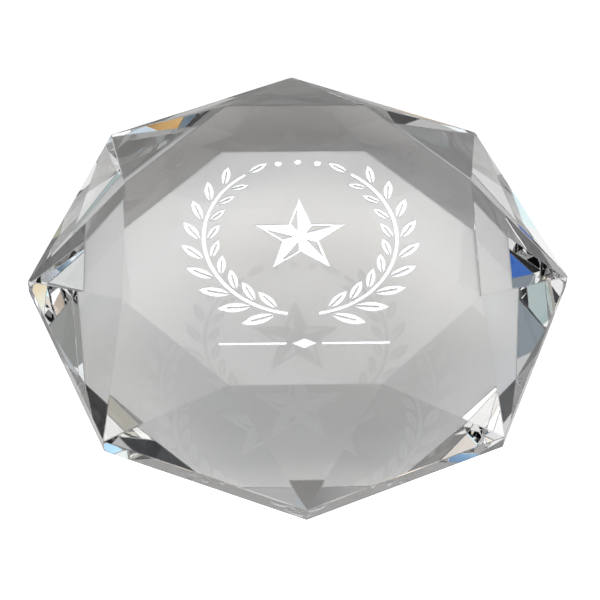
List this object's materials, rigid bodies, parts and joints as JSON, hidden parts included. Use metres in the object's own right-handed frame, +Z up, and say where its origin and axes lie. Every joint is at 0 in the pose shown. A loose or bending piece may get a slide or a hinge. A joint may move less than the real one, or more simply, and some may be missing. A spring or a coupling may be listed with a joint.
{
  "type": "crystal award",
  "caption": "Gem-cut octagonal crystal award with a flat table, triangular crown and pavilion facets, an upright girdle band and a frosted laurel wreath and star etched on top.",
  "frame": {"origin": "centre of the flat base, where the award rests on the desk", "axes": "+Z up through the table; the emblem reads upright from the -Y side, with +X to its right; girdle corners lie on X and Y"},
  "size_m": [0.08, 0.08, 0.0221],
  "materials": {
    "crystal": "polished optical crystal",
    "frosted_etch": "sandblasted frost"
  },
  "bodies": {
    "root": {"crystal_block": "crystal", "etched_left_branch": "frosted_etch", "etched_right_branch": "frosted_etch", "etched_star": "frosted_etch", "etched_berries": "frosted_etch", "etched_rule": "frosted_etch"}
  },
  "joints": []
}
